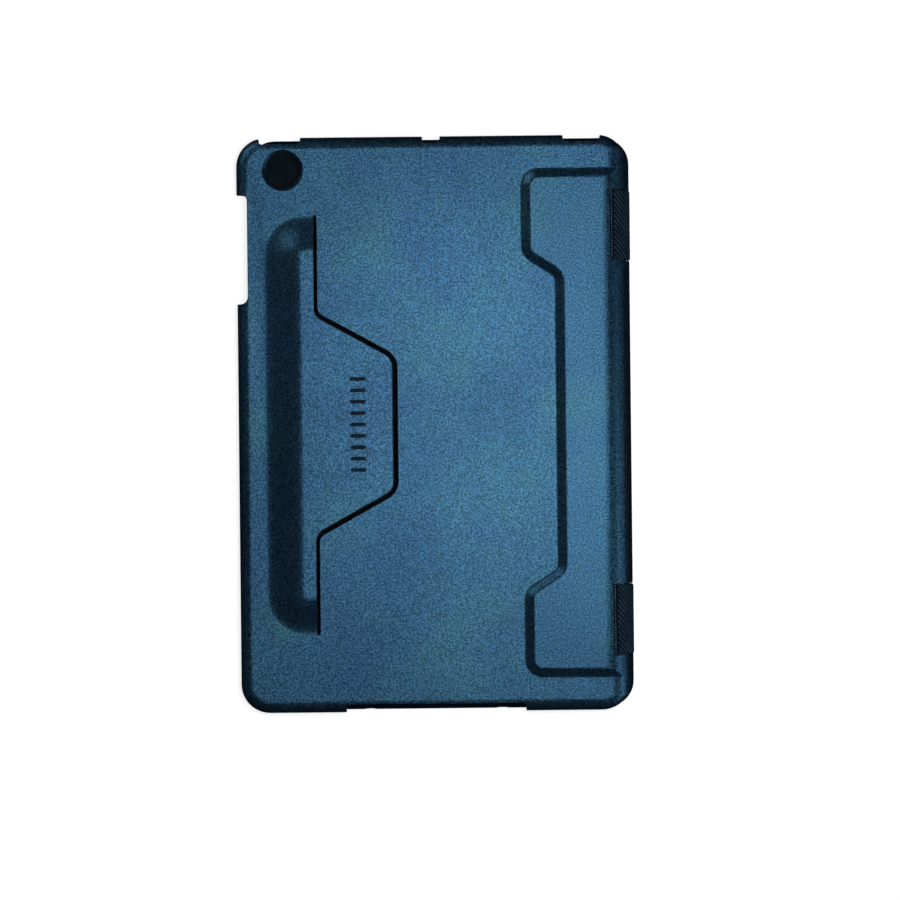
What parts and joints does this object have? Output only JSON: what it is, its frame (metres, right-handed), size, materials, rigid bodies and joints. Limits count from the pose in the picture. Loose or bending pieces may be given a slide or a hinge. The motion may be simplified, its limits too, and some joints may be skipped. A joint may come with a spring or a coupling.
{
  "type": "tablet case",
  "caption": "Folio case for a small tablet: hard moulded back shell with a stand clip, and a three-panel front cover on two ribbed hinge tabs.",
  "frame": {"origin": "centre of the bounding box at the underside of the closed cover", "axes": "+Y to the top of the tablet, +X to the spine seen from the back, +Z out of the moulded back; the shut case lies on its cover"},
  "size_m": [0.1394, 0.2036, 0.0178],
  "materials": {
    "shell_plastic": "fine grained dark steel blue",
    "anchor_plastic": "plain moulded",
    "tab_leather": "diagonally ribbed synthetic leather",
    "cover_skin": "diagonally ribbed synthetic leather",
    "crease_skin": "pressed crease in synthetic leather",
    "cover_board": "grey stiffening board",
    "cover_lining": "fine diagonal twill lining",
    "magnet": "plated magnet"
  },
  "bodies": {
    "shell": {"back_shell": "shell_plastic", "hinge_anchor_plate": "anchor_plastic", "upper_tab_root": "tab_leather", "lower_tab_root": "tab_leather"},
    "hinge_tabs": {"upper_hinge_tab": "tab_leather", "lower_hinge_tab": "tab_leather"},
    "inner_panel": {"inner_panel_skin": "cover_skin", "inner_panel_board": "cover_board", "inner_panel_lining": "cover_lining", "upper_tab_tail": "tab_leather", "lower_tab_tail": "tab_leather"},
    "middle_panel": {"middle_panel_skin": "cover_skin", "middle_panel_board": "cover_board", "middle_panel_lining": "cover_lining", "first_crease_strip": "crease_skin"},
    "free_panel": {"free_panel_skin": "cover_skin", "free_panel_board": "cover_board", "free_panel_lining": "cover_lining", "second_crease_strip": "crease_skin", "wake_magnet": "magnet", "upper_closure_magnet": "magnet", "lower_closure_magnet": "magnet"}
  },
  "joints": [
    {"name": "cover_fold", "type": "hinge", "parent": "hinge_tabs", "child": "inner_panel", "pos_m": [0.06965, 0, 0], "axis": [0, -1, 0], "range_deg": [0, 247.4]},
    {"name": "tab_fold", "type": "hinge", "parent": "shell", "child": "hinge_tabs", "pos_m": [0.0633, 0, 0.0132], "axis": [0, -1, 0], "range_deg": [0, 82.5]},
    {"name": "first_crease", "type": "hinge", "parent": "inner_panel", "child": "middle_panel", "pos_m": [0.0228, 0, 0.0014], "axis": [0, -1, 0], "range_deg": [0, 66.7], "deforming": ["first_crease_strip"]},
    {"name": "second_crease", "type": "hinge", "parent": "middle_panel", "child": "free_panel", "pos_m": [-0.0241, 0, 0.0014], "axis": [0, -1, 0], "range_deg": [-36.6, 0], "deforming": ["second_crease_strip"]}
  ],
  "couplings": [
    {"joint": "tab_fold", "follows": "cover_fold", "ratio": 0.33333},
    {"joint": "second_crease", "follows": "first_crease", "ratio": -0.548}
  ]
}
